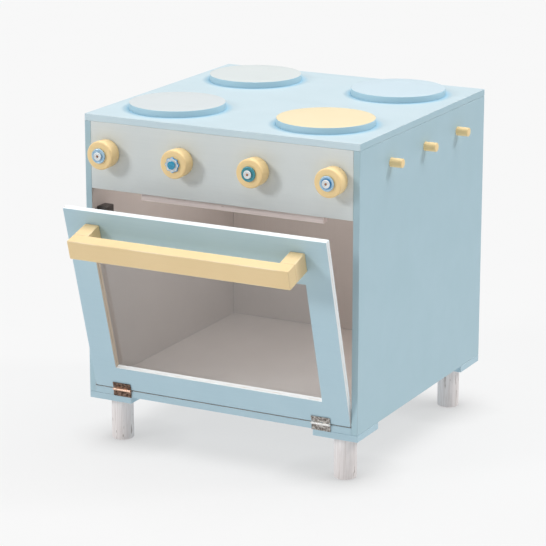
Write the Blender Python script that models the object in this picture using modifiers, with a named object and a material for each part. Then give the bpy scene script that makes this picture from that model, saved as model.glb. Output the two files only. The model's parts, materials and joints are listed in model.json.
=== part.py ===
"""A toy kitchen: a painted plywood stove on dowel legs, with a drop-down oven door and four knobs.

Metres, +Z up. X runs right along the front, and the front looks along -Y. The origin is on the
floor under the middle of the whole model's bounding box, with the oven door ajar.
"""

import math

import bmesh
import bpy
from mathutils import Matrix, Vector

# ---------------------------------------------------------------- driving sizes

CABINET_WIDTH = 0.400        # outside of one side panel to outside of the other
CABINET_DEPTH = 0.392        # front edges to the back
CABINET_HEIGHT = 0.390       # underside of the corner pads to the top of the hob board
BOARD = 0.009                # plywood of the carcass, the door and the discs
BACK_BOARD = 0.004           # thinner plywood of the back
BOARD_EDGE_RADIUS = 0.0008   # sanded arris of every board
GAP = 0.0003                 # clearance between pieces that touch

LEG_LENGTH = 0.061
LEG_DIAMETER = 0.030
LEG_EDGE_RADIUS = 0.001
PAD_WIDTH = 0.064
PAD_DEPTH = 0.062

PANEL_HEIGHT = 0.090         # control panel under the hob board
BATTEN_WIDTH = 0.266         # strip behind the control panel that stops the door
BATTEN_HEIGHT = 0.030
BATTEN_THICKNESS = 0.012
BATTEN_DROP = 0.011          # how far it shows below the control panel
BATTEN_OFFSET = 0.012        # it was glued a little right of the middle

DISC_DIAMETER = 0.128
DISC_SIDE_INSET = 0.0905     # cabinet side to disc centre
DISC_END_INSET = 0.0865      # cabinet front or back to disc centre

PEG_DIAMETER = 0.012
PEG_REACH = 0.017
PEG_EDGE_RADIUS = 0.0012
PEG_DROP = 0.041             # top of the hob board to peg centre
PEG_END_INSET = 0.091        # cabinet front or back to the first and last peg
PEG_COUNT = 3

KNOB_COUNT = 4
KNOB_DIAMETER = 0.038
KNOB_DEPTH = 0.021
KNOB_EDGE_RADIUS = 0.0045
KNOB_RISE = 0.050            # bottom edge of the control panel to knob centre
KNOB_END_INSET = 0.0255      # end of the control panel to the first knob's centre
KNOB_SCREW_DIAMETER = 0.004
KNOB_SCREW_GRIP = 0.014      # length of thread inside the knob
KNOB_SCREW_HEAD = 0.008
KNOB_SCREW_HEAD_HEIGHT = 0.003
WASHER_THICKNESS = 0.001
WASHER_MARGIN = 0.001        # how far the washer shows round the screw's head
LARGE_BUTTON_DIAMETER = 0.020
LARGE_BUTTON_THICKNESS = 0.0028
FLOWER_BUTTON_DIAMETER = 0.021
FLOWER_PETALS = 8
FLOWER_PETAL_DEPTH = 0.0011
FLOWER_PETAL_STEPS = 6       # sides of one petal
SMALL_BUTTON_DIAMETER = 0.011
SMALL_BUTTON_THICKNESS = 0.0022
BUTTON_WELL = 0.7            # height of a button's dished middle, as a share of its thickness
BUTTON_FOOT = 0.6            # how far its back is rounded in, as a share of its rim's radius

DOOR_AJAR = math.radians(15.7)
DOOR_SIDE_GAP = 0.0010
DOOR_TOP_GAP = 0.0016
DOOR_BOTTOM_GAP = 0.0006
DOOR_STILE = 0.0365
DOOR_BOTTOM_RAIL = 0.0325
DOOR_TOP_RAIL = 0.0648
PANE_THICKNESS = 0.002
PANE_EDGE_RADIUS = 0.0003
PANE_LAP = 0.010             # how far the pane reaches past the window's edge

HANDLE_END_INSET = 0.031     # door edge to the handle's end
HANDLE_TOP_INSET = 0.0182    # door top to the handle's top
HANDLE_HEIGHT = 0.0265
HANDLE_BAR_DEPTH = 0.0185
HANDLE_POST_WIDTH = 0.021
HANDLE_STANDOFF = 0.048      # door face to the front of the bar
HANDLE_EDGE_RADIUS = 0.0012
HANDLE_SCREW_DIAMETER = 0.004
HANDLE_SCREW_GRIP = 0.018    # length of thread inside the post
HANDLE_SCREW_HEAD = 0.008
HANDLE_SCREW_HEAD_DEPTH = 0.0025

HINGE_WIDTH = 0.027
HINGE_INSET = 0.0415         # door edge to the middle of the hinge
HINGE_LEAF_REACH = 0.0095    # pin centre to the leaf's far edge
HINGE_LEAF_THICKNESS = 0.0009
HINGE_LEAF_SINK = 0.00007    # how far the leaf's back stands in from the barrel's
HINGE_BARREL_DIAMETER = 0.0038
HINGE_PIN_DIAMETER = 0.0018
HINGE_KNUCKLES = 5
HINGE_KNUCKLE_GAP = 0.0002
HINGE_PIN_END = 0.0006       # how far the pin stands out of the barrel
HINGE_SCREW_HOLE = 0.0022
HINGE_SCREW_SPREAD = 0.015   # between the two screws of one leaf

LEG_BOLT_DIAMETER = 0.006
LEG_BOLT_GRIP = 0.022        # length of the hanger bolt inside the leg
LEG_BOLT_REACH = 0.006       # length of the hanger bolt inside the bottom board

CATCH_WIDTH = 0.014
CATCH_DEPTH = 0.021
CATCH_HEIGHT = 0.045
CATCH_TOP_DROP = 0.027       # bottom edge of the control panel to the catch's top
CATCH_PLATE_THICKNESS = 0.001
CATCH_PLATE_HEIGHT = 0.036
CATCH_PLATE_WIDTH = 0.011
CATCH_PLATE_EDGE_RADIUS = 0.0002

ROUND_STEPS = 24             # sides of dowels, knobs and buttons
DISC_STEPS = 48
SMALL_STEPS = 12             # sides of screws, pins and holes
KNUCKLE_STEPS = 16

# ---------------------------------------------------------------- sizes that follow from them

FRONT = -CABINET_DEPTH / 2
BACK = CABINET_DEPTH / 2
SIDE = CABINET_WIDTH / 2
INNER_SIDE = SIDE - BOARD
FIT_WIDTH = 2 * (INNER_SIDE - GAP)       # of a board that fits between the side panels
PAD_BOTTOM = LEG_LENGTH
FLOOR_BOTTOM = PAD_BOTTOM + BOARD        # underside of the bottom board
FLOOR_TOP = FLOOR_BOTTOM + BOARD
HOB_TOP = PAD_BOTTOM + CABINET_HEIGHT
HOB_BOTTOM = HOB_TOP - BOARD
PANEL_BOTTOM = HOB_BOTTOM - PANEL_HEIGHT
PANEL_BACK = FRONT + BOARD

DOOR_WIDTH = 2 * (INNER_SIDE - DOOR_SIDE_GAP)
DOOR_BOTTOM = FLOOR_TOP + DOOR_BOTTOM_GAP
DOOR_HEIGHT = PANEL_BOTTOM - DOOR_TOP_GAP - DOOR_BOTTOM
WINDOW_WIDTH = DOOR_WIDTH - 2 * DOOR_STILE
WINDOW_HEIGHT = DOOR_HEIGHT - DOOR_BOTTOM_RAIL - DOOR_TOP_RAIL
HANDLE_LENGTH = DOOR_WIDTH - 2 * HANDLE_END_INSET
HANDLE_MIDDLE = DOOR_HEIGHT - HANDLE_TOP_INSET - HANDLE_HEIGHT / 2
POST_X = HANDLE_LENGTH / 2 - HANDLE_POST_WIDTH / 2
POST_LENGTH = HANDLE_STANDOFF - HANDLE_BAR_DEPTH - 2 * GAP
HINGE_X = DOOR_WIDTH / 2 - HINGE_INSET

# The hinge pins stand in front of the boards' faces, level with the joint under the door.
HINGE_PROUD = GAP + HINGE_BARREL_DIAMETER / 2
HINGE_Y = FRONT - HINGE_PROUD
HINGE_Z = FLOOR_TOP + DOOR_BOTTOM_GAP / 2

# The handle's top front edge is the model's foremost point, and the pegs reach furthest right.
HANDLE_FRONT_Y = -HANDLE_STANDOFF + HINGE_PROUD
HANDLE_TOP_Z = DOOR_BOTTOM + DOOR_HEIGHT - HANDLE_TOP_INSET - HINGE_Z
FOREMOST = HINGE_Y + HANDLE_FRONT_Y * math.cos(DOOR_AJAR) - HANDLE_TOP_Z * math.sin(DOOR_AJAR)
CABINET_X = -PEG_REACH / 2
CABINET_Y = -(FOREMOST + BACK) / 2

# ---------------------------------------------------------------- helpers

PLY_BLUE = ("blue_painted_plywood", (0.45, 0.62, 0.70), 0.55, 0.0)
PLY_GREY = ("grey_painted_plywood", (0.55, 0.60, 0.60), 0.55, 0.0)
WOOD_YELLOW = ("yellow_painted_wood", (0.93, 0.76, 0.48), 0.50, 0.0)
WOOD_WHITE = ("whitewashed_dowel", (0.62, 0.60, 0.60), 0.70, 0.0)
WOOD_PINK = ("bare_batten", (0.75, 0.68, 0.66), 0.70, 0.0)
DISC_COLOURS = {
    "front_left": ("pale_grey_disc", (0.75, 0.81, 0.83), 0.55, 0.0),
    "front_right": ("yellow_disc", (0.94, 0.84, 0.62), 0.55, 0.0),
    "back_left": ("grey_disc", (0.77, 0.80, 0.80), 0.55, 0.0),
    "back_right": ("pale_blue_disc", (0.68, 0.80, 0.86), 0.55, 0.0),
}
BUTTON_BLUE = ("blue_button", (0.28, 0.52, 0.72), 0.30, 0.0)
BUTTON_WHITE = ("white_button", (0.85, 0.86, 0.86), 0.30, 0.0)
BUTTON_TEAL = ("teal_button", (0.05, 0.38, 0.46), 0.30, 0.0)
ACRYLIC = ("clear_acrylic", (0.85, 0.88, 0.90), 0.05, 0.0)
STEEL = ("zinc_plated_steel", (0.60, 0.58, 0.54), 0.35, 1.0)
CATCH_BLACK = ("black_catch_plastic", (0.03, 0.03, 0.03), 0.45, 0.0)

for old in list(bpy.data.objects):
    bpy.data.objects.remove(old, do_unlink=True)

kitchen = bpy.data.collections.new("toy_kitchen")
cutters = bpy.data.collections.new("cutters")
bpy.context.scene.collection.children.link(kitchen)
bpy.context.scene.collection.children.link(cutters)


def material(finish):
    """The Principled material for one (name, colour, roughness, metallic) finish."""
    name, colour, roughness, metallic = finish
    made = bpy.data.materials.get(name)
    if made is None:
        made = bpy.data.materials.new(name)
        made.use_nodes = True
        shader = made.node_tree.nodes["Principled BSDF"]
        shader.inputs["Base Color"].default_value = (*colour, 1.0)
        shader.inputs["Roughness"].default_value = roughness
        shader.inputs["Metallic"].default_value = metallic
    return made


def empty(name, location, parent=None, tilt=0.0):
    """A frame that pieces hang from, turned about X by tilt."""
    made = bpy.data.objects.new(name, None)
    made.location = location
    made.rotation_euler.x = tilt
    made.parent = parent
    kitchen.objects.link(made)
    return made


def place(name, mesh, finish, location, parent, collection=kitchen):
    """Put a mesh in the model as one named piece."""
    made = bpy.data.objects.new(name, mesh)
    made.location = location
    made.parent = parent
    collection.objects.link(made)
    if finish and not mesh.materials:
        mesh.materials.append(material(finish))
    return made


def mesh_from(build, name):
    """A mesh filled by build(bm)."""
    bm = bmesh.new()
    build(bm)
    mesh = bpy.data.meshes.new(name)
    bm.to_mesh(mesh)
    bm.free()
    return mesh


def add_box(bm, size, centre=(0.0, 0.0, 0.0)):
    """A box of the given size in a bmesh."""
    made = bmesh.ops.create_cube(bm, size=1.0)["verts"]
    bmesh.ops.scale(bm, vec=Vector(size), verts=made)
    bmesh.ops.translate(bm, vec=Vector(centre), verts=made)


def add_rod(bm, start, end, radius, end_radius=None, steps=SMALL_STEPS):
    """A rod, or a cone if end_radius is given, between two points in a bmesh."""
    start = Vector(start)
    way = Vector(end) - start
    turn = way.to_track_quat("Z", "Y").to_matrix().to_4x4()
    matrix = Matrix.Translation(start + way / 2) @ turn
    far_radius = radius if end_radius is None else end_radius
    bmesh.ops.create_cone(bm, cap_ends=True, segments=steps, radius1=radius, radius2=far_radius,
                          depth=way.length, matrix=matrix)


def round_edges(piece, radius, segments=2):
    """Ease every sharp edge of a piece."""
    bevel = piece.modifiers.new("eased_edges", "BEVEL")
    bevel.width = radius
    bevel.segments = segments
    bevel.limit_method = "ANGLE"
    bevel.angle_limit = math.radians(40)


def board(name, finish, size, centre, parent, radius=BOARD_EDGE_RADIUS):
    """A flat board with eased edges."""
    mesh = mesh_from(lambda bm: add_box(bm, size), name)
    piece = place(name, mesh, finish, centre, parent)
    round_edges(piece, radius)
    return piece


def combine(piece, operation, build):
    """Join or cut a piece with the shapes that build(bm) adds, in the piece's own frame."""
    name = "%s_tool_%d" % (piece.name, len(piece.modifiers))
    tool = place(name, mesh_from(build, name), None, piece.location, piece.parent, cutters)
    tool.hide_render = True
    tool.display_type = "WIRE"
    boolean = piece.modifiers.new(operation.lower(), "BOOLEAN")
    boolean.operation = operation
    boolean.solver = "EXACT"
    boolean.object = tool


def cut(piece, build):
    """Cut the shapes that build(bm) adds out of a piece."""
    combine(piece, "DIFFERENCE", build)


def turned_mesh(name, profile, steps):
    """Turn a profile of (radius, height) points, listed from the top centre down, about Z."""
    mesh = bpy.data.meshes.new(name + "_profile")
    points = [(radius, 0.0, height) for radius, height in profile]
    mesh.from_pydata(points, [(i, i + 1) for i in range(len(points) - 1)], [])
    lathe = bpy.data.objects.new(name + "_lathe", mesh)
    cutters.objects.link(lathe)
    screw = lathe.modifiers.new("turn", "SCREW")
    screw.steps = steps
    screw.render_steps = steps
    screw.use_merge_vertices = True
    screw.merge_threshold = 0.00001
    graph = bpy.context.evaluated_depsgraph_get()
    made = bpy.data.meshes.new_from_object(lathe.evaluated_get(graph))
    made.name = name
    bpy.data.objects.remove(lathe)
    smooth(made)
    return made


def smooth(mesh):
    """Shade a round mesh smooth, with its real edges kept sharp."""
    mesh.shade_smooth()
    mesh.set_sharp_from_angle(angle=math.radians(35))


def arc(centre, radius, start, end, steps):
    """Points of a profile's round corner, angles in degrees from +radius towards +height."""
    angles = [math.radians(start + (end - start) * i / steps) for i in range(steps + 1)]
    return [(centre[0] + radius * math.cos(a), centre[1] + radius * math.sin(a)) for a in angles]


def turned_to_front(mesh):
    """Lay a turned mesh down, so that its top faces the front."""
    mesh.transform(Matrix.Rotation(math.radians(90), 4, "X"))
    return mesh


def spread(count, inset, low, high):
    """Even places between two limits, the outer ones in from them by inset."""
    first = low + inset
    step = (high - low - 2 * inset) / (count - 1)
    return [first + step * i for i in range(count)]


cabinet = empty("cabinet_frame", (CABINET_X, CABINET_Y, 0.0))

# ---------------------------------------------------------------- carcass

PEG_Z = HOB_TOP - PEG_DROP
PEG_PLACES = spread(PEG_COUNT, PEG_END_INSET, FRONT, BACK)
KNOB_Z = PANEL_BOTTOM + KNOB_RISE
KNOB_PLACES = spread(KNOB_COUNT, KNOB_END_INSET, -INNER_SIDE, INNER_SIDE)
LEG_X = SIDE - PAD_WIDTH / 2
LEG_Y = BACK - PAD_DEPTH / 2
CORNERS = {"front_left": (-1, -1), "front_right": (1, -1), "back_left": (-1, 1), "back_right": (1, 1)}


def make_carcass():
    """The boards that make the box, glued and pinned edge to face."""
    side_height = HOB_BOTTOM - FLOOR_BOTTOM - GAP
    side_size = (BOARD, CABINET_DEPTH, side_height)
    side_z = FLOOR_BOTTOM + side_height / 2
    board("left_side_panel", PLY_BLUE, side_size, (-SIDE + BOARD / 2, 0.0, side_z), cabinet)
    right = board("right_side_panel", PLY_BLUE, side_size, (SIDE - BOARD / 2, 0.0, side_z), cabinet)

    def peg_holes(bm):
        for y in PEG_PLACES:
            add_rod(bm, (-BOARD, y, PEG_Z - side_z), (BOARD, y, PEG_Z - side_z),
                    PEG_DIAMETER / 2 + GAP, steps=ROUND_STEPS)

    cut(right, peg_holes)

    board("top_board", PLY_BLUE, (CABINET_WIDTH, CABINET_DEPTH, BOARD),
          (0.0, 0.0, HOB_TOP - BOARD / 2), cabinet)

    floor = board("bottom_board", PLY_BLUE, (FIT_WIDTH, CABINET_DEPTH, BOARD),
                  (0.0, 0.0, FLOOR_TOP - BOARD / 2), cabinet)

    def floor_holes(bm):
        for side, end in CORNERS.values():
            x, y = side * LEG_X, end * LEG_Y
            add_rod(bm, (x, y, -BOARD), (x, y, LEG_BOLT_REACH + GAP - BOARD / 2),
                    LEG_BOLT_DIAMETER / 2 + GAP)

    cut(floor, floor_holes)

    back_height = HOB_BOTTOM - FLOOR_TOP - 2 * GAP
    board("back_panel", PLY_BLUE, (FIT_WIDTH, BACK_BOARD, back_height),
          (0.0, BACK - BACK_BOARD / 2, FLOOR_TOP + GAP + back_height / 2), cabinet)


def make_control_panel():
    """The grey panel under the hob, with the batten that the door closes against."""
    panel_height = PANEL_HEIGHT - GAP
    panel_z = PANEL_BOTTOM + panel_height / 2
    panel = board("control_panel", PLY_GREY, (FIT_WIDTH, BOARD, panel_height),
                  (0.0, FRONT + BOARD / 2, panel_z), cabinet)

    def knob_holes(bm):
        for x in KNOB_PLACES:
            add_rod(bm, (x, -BOARD, KNOB_Z - panel_z), (x, BOARD, KNOB_Z - panel_z),
                    KNOB_SCREW_DIAMETER / 2 + GAP)

    cut(panel, knob_holes)
    board("stop_batten", WOOD_PINK, (BATTEN_WIDTH, BATTEN_THICKNESS, BATTEN_HEIGHT),
          (BATTEN_OFFSET, PANEL_BACK + GAP + BATTEN_THICKNESS / 2,
           PANEL_BOTTOM - BATTEN_DROP + BATTEN_HEIGHT / 2), cabinet)


def make_legs():
    """A pad under each corner, and under each pad a dowel leg held by a hidden hanger bolt."""
    radius = LEG_DIAMETER / 2
    leg = turned_mesh("leg", [(0.0, LEG_LENGTH - GAP), (radius, LEG_LENGTH - GAP)]
                      + arc((radius - LEG_EDGE_RADIUS, LEG_EDGE_RADIUS), LEG_EDGE_RADIUS, 0, -90, 3)
                      + [(0.0, 0.0)], ROUND_STEPS)
    bolt_radius = LEG_BOLT_DIAMETER / 2
    bolt_low = LEG_LENGTH - LEG_BOLT_GRIP
    bolt_high = FLOOR_BOTTOM + LEG_BOLT_REACH
    bolt = turned_mesh("leg_bolt", [(0.0, bolt_high), (bolt_radius, bolt_high),
                                    (bolt_radius, bolt_low), (0.0, bolt_low)], SMALL_STEPS)

    def bolt_hole(bm):
        add_rod(bm, (0, 0, bolt_low - GAP), (0, 0, bolt_high + BOARD), bolt_radius + GAP)

    for corner, (side, end) in CORNERS.items():
        centre = (side * LEG_X, end * LEG_Y, 0.0)
        pad_size = (PAD_WIDTH, PAD_DEPTH, BOARD - GAP)
        pad_mesh = mesh_from(lambda bm: add_box(bm, pad_size, (0, 0, PAD_BOTTOM + pad_size[2] / 2)),
                             "corner_pad_" + corner)
        pad = place("corner_pad_" + corner, pad_mesh, PLY_BLUE, centre, cabinet)
        round_edges(pad, BOARD_EDGE_RADIUS)
        cut(pad, bolt_hole)
        dowel = place("leg_" + corner, leg, WOOD_WHITE, centre, cabinet)
        cut(dowel, bolt_hole)
        place("leg_bolt_" + corner, bolt, STEEL, centre, cabinet)


def make_hob():
    """Four round plywood discs glued to the hob, each in its own colour."""
    for corner, (side, end) in CORNERS.items():
        radius = DISC_DIAMETER / 2
        edge = BOARD_EDGE_RADIUS
        profile = ([(0.0, BOARD)] + arc((radius - edge, BOARD - edge), edge, 90, 0, 2)
                   + [(radius, GAP), (0.0, GAP)])
        disc = turned_mesh("hob_disc_" + corner, profile, DISC_STEPS)
        place("hob_disc_" + corner, disc, DISC_COLOURS[corner],
              (side * (SIDE - DISC_SIDE_INSET), end * (BACK - DISC_END_INSET), HOB_TOP), cabinet)


def make_pegs():
    """Three dowel pegs through the right side panel, for hanging spoons and cloths."""
    radius = PEG_DIAMETER / 2
    edge = PEG_EDGE_RADIUS
    length = PEG_REACH + BOARD
    profile = ([(0.0, length)] + arc((radius - edge, length - edge), edge, 90, 0, 3)
               + [(radius, 0.0), (0.0, 0.0)])
    peg = turned_mesh("peg", profile, ROUND_STEPS)
    peg.transform(Matrix.Rotation(math.radians(90), 4, "Y"))
    for i, y in enumerate(PEG_PLACES):
        place("side_peg_%d" % (i + 1), peg, WOOD_YELLOW, (INNER_SIDE, y, PEG_Z), cabinet)


# ---------------------------------------------------------------- knobs

def make_knob_mesh():
    """A turned wooden knob, standing up from z = 0, with a hole for its screw."""
    radius = KNOB_DIAMETER / 2
    edge = KNOB_EDGE_RADIUS
    bore = KNOB_SCREW_DIAMETER / 2 + GAP
    bore_top = KNOB_SCREW_GRIP + GAP
    profile = ([(0.0, KNOB_DEPTH)] + arc((radius - edge, KNOB_DEPTH - edge), edge, 90, 0, 4)
               + arc((radius - edge / 2, edge / 2), edge / 2, 0, -90, 2)
               + [(bore, 0.0), (bore, bore_top), (0.0, bore_top)])
    return turned_to_front(turned_mesh("knob", profile, ROUND_STEPS))


def make_button_mesh(name, diameter, thickness):
    """A sewing button: a flat disc with a raised round rim, standing up from z = 0."""
    radius = diameter / 2
    rim = thickness / 2
    well = radius - 2 * rim
    well_height = thickness * BUTTON_WELL
    profile = ([(0.0, well_height), (well, well_height)]
               + arc((radius - rim, thickness - rim), rim, 120, 0, 4)
               + [(radius - rim * BUTTON_FOOT, 0.0), (0.0, 0.0)])
    return turned_to_front(turned_mesh(name, profile, ROUND_STEPS))


def make_flower_mesh():
    """A flat button with a petalled outline, standing up from z = 0."""
    def build(bm):
        steps = FLOWER_PETALS * FLOWER_PETAL_STEPS
        ring = bmesh.ops.create_circle(bm, cap_ends=True, segments=steps, radius=1.0)["verts"]
        middle = FLOWER_BUTTON_DIAMETER / 2 - FLOWER_PETAL_DEPTH / 2
        for vert in ring:
            angle = math.atan2(vert.co.y, vert.co.x)
            reach = middle + FLOWER_PETAL_DEPTH / 2 * math.cos(FLOWER_PETALS * angle)
            vert.co = Vector((reach * math.cos(angle), reach * math.sin(angle), 0.0))
        raised = bmesh.ops.extrude_face_region(bm, geom=bm.faces[:])["geom"]
        top = [item for item in raised if isinstance(item, bmesh.types.BMVert)]
        bmesh.ops.translate(bm, vec=(0, 0, LARGE_BUTTON_THICKNESS), verts=top)
        bmesh.ops.recalc_face_normals(bm, faces=bm.faces[:])

    return turned_to_front(mesh_from(build, "flower_button"))


def make_knobs():
    """Four knobs that turn on screws through the control panel, each with two buttons on it."""
    knob = make_knob_mesh()
    round_button = ("large", LARGE_BUTTON_DIAMETER, LARGE_BUTTON_THICKNESS)
    small_button = ("small", SMALL_BUTTON_DIAMETER, SMALL_BUTTON_THICKNESS)
    large_meshes = [make_button_mesh(*round_button), make_flower_mesh(),
                    make_button_mesh(*round_button), make_button_mesh(*round_button)]
    small_meshes = [make_button_mesh(*small_button) for _ in range(KNOB_COUNT)]
    large_finishes = [BUTTON_BLUE, BUTTON_WHITE, BUTTON_TEAL, BUTTON_BLUE]
    small_finishes = [BUTTON_WHITE, BUTTON_TEAL, BUTTON_WHITE, BUTTON_WHITE]
    shank = BOARD + KNOB_SCREW_GRIP + WASHER_THICKNESS + 3 * GAP
    washer_radius = KNOB_SCREW_HEAD / 2 + WASHER_MARGIN
    screw = turned_mesh("knob_screw", [
        (0.0, shank), (KNOB_SCREW_DIAMETER / 2, shank), (KNOB_SCREW_DIAMETER / 2, WASHER_THICKNESS),
        (washer_radius, WASHER_THICKNESS), (washer_radius, 0.0), (KNOB_SCREW_HEAD / 2, 0.0),
        (KNOB_SCREW_HEAD / 2, -KNOB_SCREW_HEAD_HEIGHT / 2),
        (KNOB_SCREW_HEAD / 4, -KNOB_SCREW_HEAD_HEIGHT), (0.0, -KNOB_SCREW_HEAD_HEIGHT)], SMALL_STEPS)
    turned_to_front(screw)
    face = -GAP - KNOB_DEPTH
    for i, x in enumerate(KNOB_PLACES):
        number = str(i + 1)
        axis = empty("knob_%s_axis" % number, (x, FRONT, KNOB_Z), cabinet)
        place("knob_" + number, knob, WOOD_YELLOW, (0.0, -GAP, 0.0), axis)
        large_y = face - GAP
        small_y = large_y - LARGE_BUTTON_THICKNESS - GAP
        place("large_button_" + number, large_meshes[i], large_finishes[i], (0.0, large_y, 0.0), axis)
        place("small_button_" + number, small_meshes[i], small_finishes[i], (0.0, small_y, 0.0), axis)
        place("knob_screw_" + number, screw, STEEL,
              (0.0, BOARD + GAP + WASHER_THICKNESS, 0.0), axis)


# ---------------------------------------------------------------- door

# The door's pieces are placed from the hinge pins, as on the shut door, and the frame tips them open.
door = empty("door_hinge_axis", (0.0, HINGE_Y, HINGE_Z), cabinet, DOOR_AJAR)
DOOR_FACE = HINGE_PROUD                     # the door's front face, measured from the pins
DOOR_LOW = DOOR_BOTTOM - HINGE_Z            # the door's bottom edge, measured from the pins
WINDOW_Z = DOOR_LOW + DOOR_BOTTOM_RAIL + WINDOW_HEIGHT / 2
HANDLE_Z = DOOR_LOW + HANDLE_MIDDLE
PANE_WIDTH = WINDOW_WIDTH + 2 * PANE_LAP
PANE_HEIGHT = WINDOW_HEIGHT + 2 * PANE_LAP
PANE_Y = DOOR_FACE + BOARD + GAP


def make_door_frame():
    """The plywood door with its window cut out and its screw holes."""
    middle = DOOR_LOW + DOOR_HEIGHT / 2
    frame_mesh = mesh_from(lambda bm: add_box(bm, (DOOR_WIDTH, BOARD, DOOR_HEIGHT)), "door_frame")
    frame = place("door_frame", frame_mesh, PLY_BLUE, (0.0, DOOR_FACE + BOARD / 2, middle), door)

    def window(bm):
        add_box(bm, (WINDOW_WIDTH, 2 * BOARD, WINDOW_HEIGHT), (0.0, 0.0, WINDOW_Z - middle))

    cut(frame, window)
    round_edges(frame, BOARD_EDGE_RADIUS)

    post_z = HANDLE_Z - middle
    hole = HANDLE_SCREW_DIAMETER / 2 + GAP
    mouth = HANDLE_SCREW_HEAD / 2 + 2 * GAP

    def screw_holes(bm):
        for x in (-POST_X, POST_X):
            add_rod(bm, (x, -BOARD, post_z), (x, BOARD, post_z), hole)

    def screw_mouths(bm):
        for x in (-POST_X, POST_X):
            add_rod(bm, (x, BOARD / 2 + GAP, post_z),
                    (x, BOARD / 2 - HANDLE_SCREW_HEAD_DEPTH - 2 * GAP, post_z), mouth, hole)

    cut(frame, screw_holes)
    cut(frame, screw_mouths)


def make_pane():
    """The clear acrylic window on the door's inside."""
    board("door_window", ACRYLIC, (PANE_WIDTH, PANE_THICKNESS, PANE_HEIGHT),
          (0.0, PANE_Y + PANE_THICKNESS / 2, WINDOW_Z), door, PANE_EDGE_RADIUS)


def make_handle():
    """A square bar on two posts, each post screwed on through the door."""
    bar_y = DOOR_FACE - HANDLE_STANDOFF + HANDLE_BAR_DEPTH / 2
    board("handle_bar", WOOD_YELLOW, (HANDLE_LENGTH, HANDLE_BAR_DEPTH, HANDLE_HEIGHT),
          (0.0, bar_y, HANDLE_Z), door, HANDLE_EDGE_RADIUS)
    post_y = DOOR_FACE - GAP - POST_LENGTH / 2
    radius = HANDLE_SCREW_DIAMETER / 2
    length = BOARD + HANDLE_SCREW_GRIP - GAP
    screw = turned_mesh("handle_screw", [
        (0.0, 0.0), (HANDLE_SCREW_HEAD / 2, 0.0), (radius, -HANDLE_SCREW_HEAD_DEPTH),
        (radius, -length), (0.0, -length)], SMALL_STEPS)
    screw.transform(Matrix.Rotation(math.radians(-90), 4, "X"))
    for side, word in ((-1, "left"), (1, "right")):
        post = board("handle_post_" + word, WOOD_YELLOW,
                     (HANDLE_POST_WIDTH, POST_LENGTH, HANDLE_HEIGHT),
                     (side * POST_X, post_y, HANDLE_Z), door, HANDLE_EDGE_RADIUS)

        def post_hole(bm):
            add_rod(bm, (0, POST_LENGTH, 0), (0, POST_LENGTH / 2 - HANDLE_SCREW_GRIP - GAP, 0),
                    HANDLE_SCREW_DIAMETER / 2 + GAP)

        cut(post, post_hole)
        place("handle_screw_" + word, screw, STEEL,
              (side * POST_X, DOOR_FACE + BOARD - GAP, HANDLE_Z), door)


def make_leaf(name, upward, first, location, parent):
    """A hinge leaf about the pin on X: a plate with tongues that carry every second knuckle."""
    pitch = HINGE_WIDTH / HINGE_KNUCKLES
    half = (pitch - HINGE_KNUCKLE_GAP) / 2
    middles = [-HINGE_WIDTH / 2 + pitch * (i + 0.5) for i in range(HINGE_KNUCKLES)]
    barrel = HINGE_BARREL_DIAMETER / 2
    plate_start = barrel + GAP
    plate_y = barrel - HINGE_LEAF_SINK - HINGE_LEAF_THICKNESS / 2
    root = barrel / 4

    def plate(bm):
        reach = HINGE_LEAF_REACH - root
        add_box(bm, (HINGE_WIDTH, HINGE_LEAF_THICKNESS, reach),
                (0.0, plate_y, upward * (root + reach / 2)))

    def notches(bm):
        for x in middles[1 - first::2]:
            add_box(bm, (pitch + 2 * HINGE_KNUCKLE_GAP, 2 * barrel, 2 * plate_start),
                    (x, plate_y, 0.0))

    def knuckles(bm):
        for x in middles[first::2]:
            add_rod(bm, (x - half, 0, 0), (x + half, 0, 0), barrel, steps=KNUCKLE_STEPS)

    def holes(bm):
        add_rod(bm, (-HINGE_WIDTH, 0, 0), (HINGE_WIDTH, 0, 0), HINGE_PIN_DIAMETER / 2 + GAP / 2)
        z = upward * (HINGE_LEAF_REACH + plate_start) / 2
        for x in (-HINGE_SCREW_SPREAD / 2, HINGE_SCREW_SPREAD / 2):
            add_rod(bm, (x, -BOARD, z), (x, BOARD, z), HINGE_SCREW_HOLE / 2)

    leaf = place(name, mesh_from(plate, name), STEEL, location, parent)
    combine(leaf, "DIFFERENCE", notches)
    combine(leaf, "UNION", knuckles)
    combine(leaf, "DIFFERENCE", holes)


def make_hinges():
    """Two small butt hinges laid on the joint between the door and the bottom board."""
    end = HINGE_WIDTH / 2 + HINGE_PIN_END
    radius = HINGE_PIN_DIAMETER / 2
    pin = turned_mesh("hinge_pin", [(0.0, end), (radius, end), (radius, -end), (0.0, -end)],
                      SMALL_STEPS)
    pin.transform(Matrix.Rotation(math.radians(90), 4, "Y"))
    for side, word in ((-1, "left"), (1, "right")):
        x = side * HINGE_X
        make_leaf("hinge_door_leaf_" + word, 1, 1, (x, 0.0, 0.0), door)
        make_leaf("hinge_cabinet_leaf_" + word, -1, 0, (x, HINGE_Y, HINGE_Z), cabinet)
        place("hinge_pin_" + word, pin, STEEL, (x, HINGE_Y, HINGE_Z), cabinet)


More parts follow.
